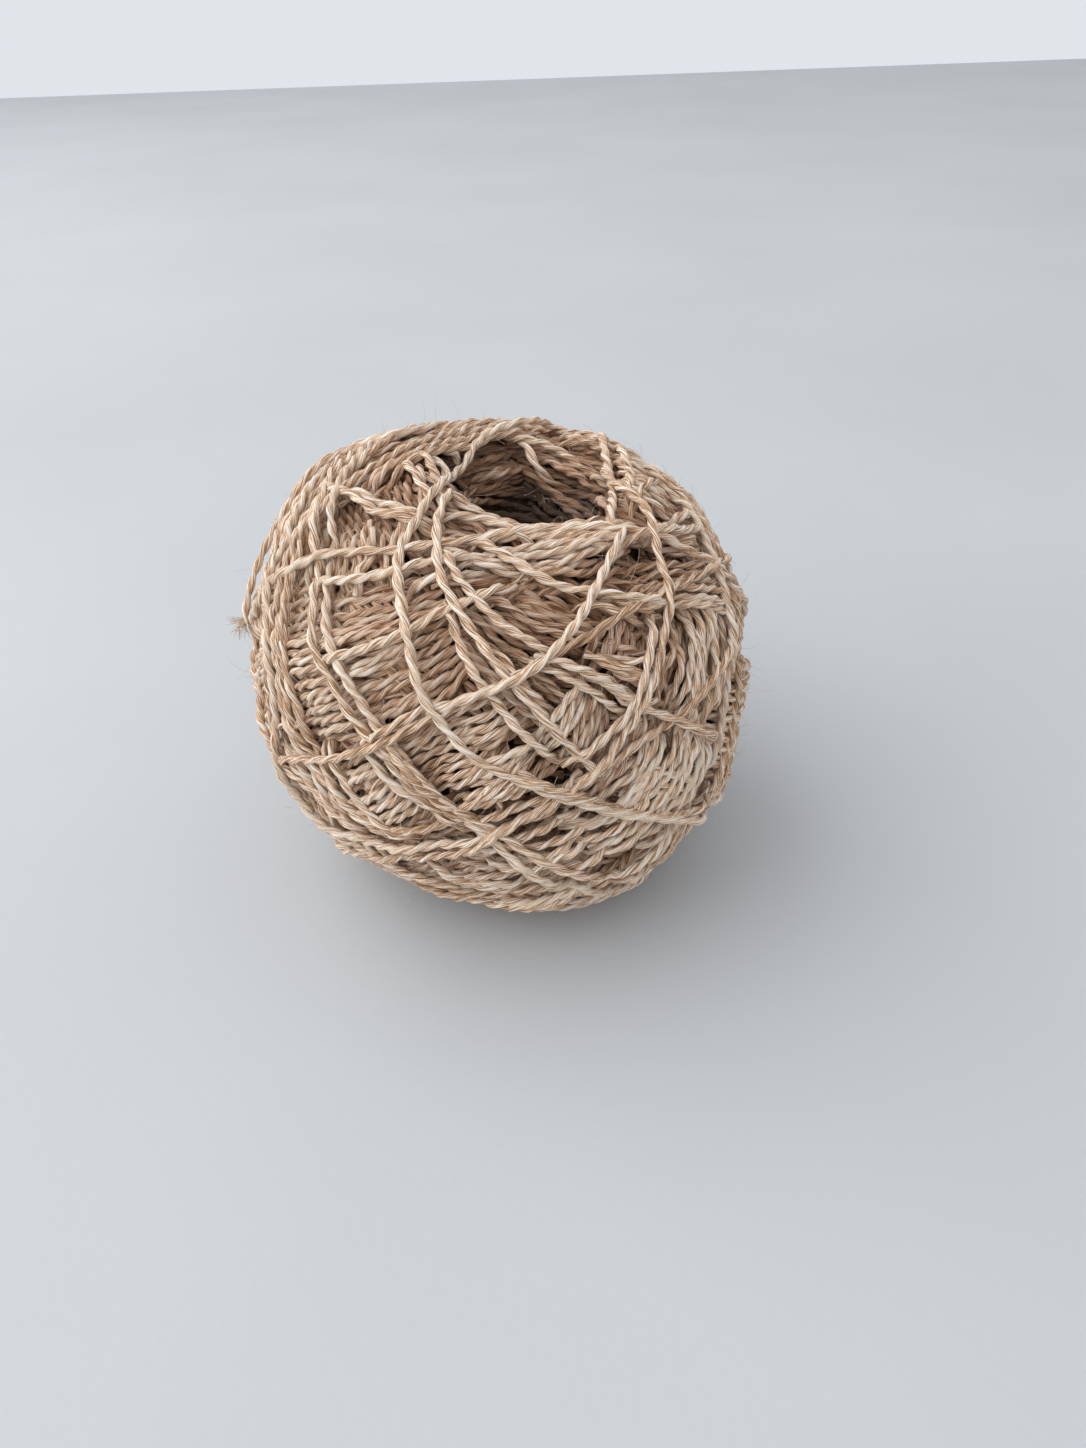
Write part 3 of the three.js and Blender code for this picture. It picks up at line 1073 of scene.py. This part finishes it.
# The lead-in rises out of the winding to where the loose end starts
to_end = smoothstep(np.arange(len(lead_in["places"]), 0, -1) * STEP, *LEAD_IN_RISE)[:, None]
route_start = np.array(LOOSE_END_ROUTE[:2]) / METRES
back_along = unit(route_start[0] - route_start[1])
behind = route_start[0] + back_along * (np.arange(len(to_end), 0, -1)[:, None] - 1) * STEP
lead_in["places"] = lead_in["places"] * (1 - to_end) + behind * to_end
winding.shown()

make_camera()


# How the fibres lie in the yarn: turned back against the twist, radians and waves per metre
FIBRE_LEAN = -330.0
FIBRE_LENGTH = 170.0
FIBRE_COUNT = 4.6

# The yarn's colours, and the painted shade in the gaps and the hole: from one depth to another, and how much
CREAM = (1.0, 0.965, 0.905)
OAT = (0.88, 0.665, 0.485)
TAN = (0.57, 0.335, 0.185)
BARK = (0.20, 0.095, 0.04)
ASH = (0.80, 0.74, 0.66)
PAINTED_GAP_SHADE = (0.46, 0.31, 0.205)
PAINTED_GAP_SHARE = (0.5, 3.4, 0.85)
PAINTED_PIT_SHADE = (0.09, 0.055, 0.035)
PAINTED_PIT_SHARE = (3.4, 7.5, 0.9)

# How much a turn's own tone, slow clouds of colour and the painted shade in the grooves between the plies
# change its colour
TONE_PULL = 0.09
CLOUD_PULL = 0.12
PAINTED_GROOVE_SHADE = 0.08


def yarn_finish():
    material, tree = new_finish("oatmeal_yarn")
    around = add_node(tree, "ShaderNodeAttribute", {"attribute_name": "around"}).outputs["Vector"]
    along, depth = painted_value(tree, "along"), painted_value(tree, "depth")
    groove_shade, tone = painted_value(tree, "groove_shade"), painted_value(tree, "tone")
    parts = add_node(tree, "ShaderNodeSeparateXYZ", None, {0: around}).outputs
    x, y = Number(tree, parts[0]), Number(tree, parts[1])
    lean = along * FIBRE_LEAN
    cosine, sine = lean.sum("COSINE", lean), lean.sum("SINE", lean)
    across = (x * cosine - y * sine) * FIBRE_COUNT
    upward = (x * sine + y * cosine) * FIBRE_COUNT
    onward = along * FIBRE_LENGTH + tone * 50.0
    grain = add_node(tree, "ShaderNodeCombineXYZ", None, {0: across, 1: upward, 2: onward}).outputs[0]
    streak = number(
        tree,
        "ShaderNodeTexNoise",
        {"noise_dimensions": "3D"},
        {"Vector": grain, "Scale": 1.0, "Detail": 4.0, "Roughness": 0.6, "Distortion": 0.25},
    )
    place = object_place(tree)
    cloud = noise(tree, place, 55.0, 2.0)
    shades = [(0.33, BARK), (0.42, TAN), (0.495, OAT), (0.59, CREAM)]
    # The grooves between the plies are darkened with painted shade
    shade = streak + (tone - 0.5) * TONE_PULL + (cloud - 0.5) * CLOUD_PULL - groove_shade * PAINTED_GROOVE_SHADE
    colour = ramp(tree, shade, shades)
    greyness = cloud * 1.6 + tone * 0.8 - 0.9
    colour = multiplied(tree, greyness.sum("MAXIMUM", greyness, 0.0), colour, ASH)
    # Painted shade in the gaps: darker the deeper a turn lies, and in the grooves between the plies
    colour = multiplied(tree, share_of(tree, depth + groove_shade, *PAINTED_GAP_SHARE), colour, PAINTED_GAP_SHADE)
    # Painted shade, darker still, deep in the hole
    colour = multiplied(tree, share_of(tree, depth, *PAINTED_PIT_SHARE), colour, PAINTED_PIT_SHADE)
    sockets = {
        "Base Color": colour,
        "Roughness": 0.78,
        "Normal": bumped(tree, streak, 1.0, 0.00022),
        "Sheen Weight": 0.1,
        "Sheen Roughness": 0.5,
        "Sheen Tint": (1.0, 0.9, 0.78, 1),
    }
    end_finish(tree, sockets)
    return material


# Lines of the turns that show, as a mesh of edges that carries the yarn's own values
def yarn_lines(name, strands, chance):
    vertices, edges, phases, girths, tones, depths, rates = [], [], [], [], [], [], []
    for strand in strands:
        seen = strand["seen"]
        count = len(seen)
        tone = chance.uniform(0.0, 1.0)
        phase = chance.uniform(0, 2 * math.pi)
        girth = GIRTHS[strand["group"]] * (1 + drift(chance, count, GIRTH_EVERY, GIRTH_DRIFT))
        rate = chance.uniform(*TWIST_RANGE)
        if strand["closed"] and seen.all():
            around = np.vstack([strand["places"], strand["places"][:1]])
            plies = np.linalg.norm(np.diff(around, axis=0), axis=1).sum() / PLY_LENGTH
            rate = round(plies * rate) / plies
        kept_index = np.full(count, -1)
        for i in np.flatnonzero(seen):
            kept_index[i] = len(vertices)
            vertices.append(tuple(strand["places"][i] * METRES))
            phases.append(phase)
            girths.append(float(girth[i]))
            tones.append(tone)
            # The depth carries the painted shade of the gaps and the hole to the material
            depths.append(float(strand["depth"][i]))
            rates.append(rate)
        for i in range(count - 1):
            if seen[i] and seen[i + 1]:
                edges.append((int(kept_index[i]), int(kept_index[i + 1])))
        if strand["closed"] and seen[0] and seen[-1]:
            edges.append((int(kept_index[-1]), int(kept_index[0])))
    thing = plain_object(name, vertices, edges, [])
    values_of = {"phase": phases, "girth": girths, "tone": tones, "depth": depths, "rate": rates}
    for label, values in values_of.items():
        layer = thing.data.attributes.new(label, "FLOAT", "POINT")
        layer.data.foreach_set("value", np.array(values, np.float32))
    return thing


YARN_SIZES = {"Diameter": YARN_DIAMETER * METRES, "Ply length": PLY_LENGTH * METRES, "Sides": 10}
yarn_maker = yarn_tree(yarn_finish(), YARN_SIZES)


def yarn_piece(name, strands, chance):
    return grown(name, yarn_lines(name + "_lines", strands, chance), yarn_maker, YARN_SIZES)


chance = np.random.default_rng(SEED + 1)
pieces = []
PIECE_LENGTH = 8000
batch, length = [], 0
for strand in winding.strands:
    batch.append(strand)
    length += strand["seen"].sum() * STEP
    if length > PIECE_LENGTH:
        pieces.append(yarn_piece(f"wound_turns_{len(pieces) + 1}", batch, chance))
        batch, length = [], 0
pieces.append(yarn_piece(f"wound_turns_{len(pieces) + 1}", batch, chance))


# The core's colour is painted shade: near black, for the shade deep between the turns
def painted_shade_core_finish():
    material, tree = new_finish("inner_winding_painted_shade")
    place = object_place(tree)
    shades = [(0.3, (0.05, 0.026, 0.012)), (0.7, (0.16, 0.09, 0.05))]
    colour = ramp(tree, noise(tree, place, 900.0, 3.0), shades)
    end_finish(tree, {"Base Color": colour, "Roughness": 0.95})
    return material


# A dark sheet inside the winding, painted shade that shows through its gaps
core_vertices, core_faces = skin_mesh(CORE_DEPTH, 90, 60)
core_places = [tuple(c * METRES for c in vertex) for vertex in core_vertices]
core = plain_object("inner_winding_painted_shade", core_places, [], core_faces)
core.data.materials.append(painted_shade_core_finish())
core.data.shade_smooth()
pieces.append(core)

for piece in pieces:
    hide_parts("wound_ball")
    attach(piece, "root")

# How a fibre stands in the yarn, bends, thins out and keeps above the sill
FIBRE_STEPS = 5
FIBRE_ROOT = 0.36
FIBRE_ROOT_ASIDE = 0.8
FIBRE_LIFTS = (0.3, 1.4)
FIBRE_WIDTHS = (0.6, 1.3)
FIBRE_UNREST = 0.6
FIBRE_TAPER = 0.6
FIBRE_FLOOR = 0.3

# Stray fibres: how many, how long, how far they stand up, how much they curl and how thick, in millimetres
FIBRES = {
    "stray": {"count": 1300, "length": (2.5, 8.0), "lift": 0.8, "curl": 2.0, "thick": 0.08},
    "close": {"count": 1000, "length": (1.2, 3.2), "lift": 0.4, "curl": 1.7, "thick": 0.08},
    "matted": {"count": 900, "length": (2.0, 5.0), "lift": 0.12, "curl": 3.2, "thick": 0.09},
}

# Where the yarn is matted, by places in the photograph, and how far round each of them in millimetres
MATTED_REACH = 6.0
MATTED_DEPTH = 1.6
MATTED = [
    (469, 496), (452, 470), (400, 480), (690, 610), (700, 660), (672, 640), (655, 590),
    (425, 585), (300, 600), (700, 760), (560, 700), (640, 800), (330, 500), (725, 640),
]


# A fibre's places, from its root onwards
def fibre_places(root, heading, length, curl, chance):
    places, turning = [root], chance.normal(0, curl, 3)
    for _ in range(FIBRE_STEPS):
        turning = turning + chance.normal(0, curl * FIBRE_UNREST, 3)
        heading = unit(heading + turning / FIBRE_STEPS)
        place = places[-1] + heading * length / FIBRE_STEPS
        place[2] = max(place[2], FIBRE_FLOOR)
        places.append(place)
    return places


# The fibres as a mesh of edges, each growing thinner towards its tip
def fibre_lines(name, fibres):
    vertices, edges, thick = [], [], []
    for places, width in fibres:
        start = len(vertices)
        for step, place in enumerate(places):
            vertices.append(tuple(place * METRES))
            thick.append(width * METRES * (1 - FIBRE_TAPER * step / FIBRE_STEPS))
        edges += [(start + step, start + step + 1) for step in range(len(places) - 1)]
    lines = plain_object(name, vertices, edges, [])
    layer = lines.data.attributes.new("thick", "FLOAT", "POINT")
    layer.data.foreach_set("value", np.array(thick, np.float32))
    return lines


def fibre_tree(finish, sizes):
    tree = geometry_tree("fibres", sizes)
    given = add_node(tree, "NodeGroupInput").outputs
    line = add_node(tree, "GeometryNodeMeshToCurve", None, {0: given["Geometry"]}).outputs[0]
    tube = swept(tree, line, circle(tree, given["Sides"], 0.5), carried_value(tree, "thick"))
    end_tree(tree, tube, finish)
    return tree


def fibre_finish():
    material, tree = new_finish("stray_fibre")
    place = object_place(tree)
    shades = [(0.35, (0.42, 0.31, 0.22)), (0.65, (0.82, 0.7, 0.58))]
    colour = ramp(tree, noise(tree, place, 300.0, 2.0), shades)
    end_finish(tree, {"Base Color": colour, "Roughness": 0.7})
    return material


FIBRE_SIZES = {"Sides": 3}
fibre_maker = fibre_tree(fibre_finish(), FIBRE_SIZES)


def fibre_piece(name, fibres):
    return grown(name, fibre_lines(name + "_lines", fibres), fibre_maker, FIBRE_SIZES)


chance = np.random.default_rng(SEED + 3)
roots = np.vstack([s["places"][s["seen"]] for s in winding.strands])
outwards = np.vstack([s["normals"][s["seen"]] for s in winding.strands])
patches = np.vstack([cast([place, (place[0] + 1, place[1] + 1)], 0, 0)[:1] for place in MATTED])
depths = np.concatenate([s["depth"][s["seen"]] for s in winding.strands])
patch_away = np.linalg.norm(roots[:, None] - patches, axis=2).min(1)
matted_place = (patch_away < MATTED_REACH) | (depths > MATTED_DEPTH)
fibres = []
for kind, fibre in FIBRES.items():
    choice = np.flatnonzero(matted_place) if kind == "matted" else np.arange(len(roots))
    for index in chance.choice(choice, fibre["count"], replace=False):
        sideways = unit(np.cross(outwards[index], chance.normal(0, 1, 3)))
        heading = unit(sideways + outwards[index] * fibre["lift"] * chance.uniform(*FIBRE_LIFTS))
        from_middle = unit(outwards[index] + sideways * FIBRE_ROOT_ASIDE)
        root = roots[index] + from_middle * YARN_DIAMETER * FIBRE_ROOT
        width = fibre["thick"] * chance.uniform(*FIBRE_WIDTHS)
        length = chance.uniform(*fibre["length"])
        fibres.append((fibre_places(root, heading, length, fibre["curl"], chance), width))
stray = fibre_piece("stray_fibres", fibres)
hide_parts("wound_ball")
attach(stray, "root")

# The frayed tip of the loose end: a tuft that opens from the cut
TUFT_COUNT = 60
TUFT_LENGTH = (2.0, 4.0)
TUFT_SPREAD = 0.21
TUFT_LEAN = 0.55
TUFT_INSIDE = 0.9
TUFT_WIDTH = 0.2
TUFT_THICK = 0.2
TUFT_WIDTHS = (0.5, 1.2)
TUFT_CURL = 0.55
tip, before_tip = np.array(LOOSE_END_ROUTE[-1]) / METRES, np.array(LOOSE_END_ROUTE[-3]) / METRES
tip_heading = unit(tip - before_tip)
hanging = unit(tip_heading - camera_axes()[0] * TUFT_LEAN)
tuft = []
for _ in range(TUFT_COUNT):
    spread = chance.normal(0, 1, 3)
    root = tip - tip_heading * TUFT_INSIDE + spread * TUFT_WIDTH
    heading = unit(hanging + spread * TUFT_SPREAD)
    width = TUFT_THICK * chance.uniform(*TUFT_WIDTHS)
    length = chance.uniform(*TUFT_LENGTH)
    tuft.append((fibre_places(root, heading, length, TUFT_CURL, chance), width))
frayed_tip = fibre_piece("frayed_tip", tuft)
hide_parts("loose_end")
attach(frayed_tip, "root")

# The loose end, a free cord
route = smooth_curve(np.array(LOOSE_END_ROUTE) / METRES)
route = even_steps(route, END_STEP)
end_strand = {
    "places": route,
    "seen": np.ones(len(route), bool),
    "depth": np.zeros(len(route)),
    "closed": False,
    "group": "end",
}
loose_end = yarn_piece("loose_end_yarn", [end_strand], chance)
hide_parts("loose_end")
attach(loose_end, "root")

# The sill that the ball rests on
FLOOR_REACH = 1.6
FLOOR_CORNERS = [(-1, -1), (1, -1), (1, 1), (-1, 1)]


def floor_finish():
    material, tree = new_finish("pale_sill")
    place = object_place(tree)
    shades = [(0.3, (0.455, 0.468, 0.477)), (0.7, (0.49, 0.503, 0.512))]
    colour = ramp(tree, noise(tree, place, 6.0, 4.0), shades)
    bump = bumped(tree, noise(tree, place, 500.0, 3.0), 0.15, 0.0003)
    end_finish(tree, {"Base Color": colour, "Roughness": 0.6, "Normal": bump})
    return material


floor_places = [(x * FLOOR_REACH, y * FLOOR_REACH, 0) for x, y in FLOOR_CORNERS]
floor = plain_object("sill", floor_places, [], [(0, 1, 2, 3)])
floor.data.materials.append(floor_finish())

# Soft lights that aim at the middle of the ball, and the light from all around
LIT_PLACE = (0, 0, 0.04)
LIGHTS = [
    {"name": "window", "place": (-1.0, 0.08, 0.86), "size": (2.2, 2.0), "power": 23.5,
     "tint": (0.96, 0.98, 1.0)},
    {"name": "room", "place": (0.1, -0.9, 0.9), "size": (1.4, 1.2), "power": 2.0, "tint": (1.0, 0.97, 0.93)},
]
SKY_TINT = (0.92, 0.95, 1.0)
SKY_POWER = 0.82


def area_light(name, place, size, power, tint):
    lamp = bpy.data.lights.new(name, "AREA")
    lamp.shape = "RECTANGLE"
    lamp.size, lamp.size_y = size
    lamp.energy = power
    lamp.color = tint
    light = bpy.data.objects.new(name, lamp)
    back = unit(np.array(place) - np.array(LIT_PLACE))
    right = unit(np.cross([0, 0, 1], back))
    up = np.cross(back, right)
    rows = [[right[i], up[i], back[i], place[i]] for i in range(3)]
    light.matrix_world = Matrix(rows + [[0, 0, 0, 1]])
    bpy.context.scene.collection.objects.link(light)


for light in LIGHTS:
    area_light(**light)
world = bpy.data.worlds.new("daylight")
world.use_nodes = True
sky = world.node_tree.nodes["Background"]
sky.inputs[0].default_value = (*SKY_TINT, 1)
sky.inputs[1].default_value = SKY_POWER
bpy.context.scene.world = world
bpy.context.scene.view_settings.view_transform = "Standard"
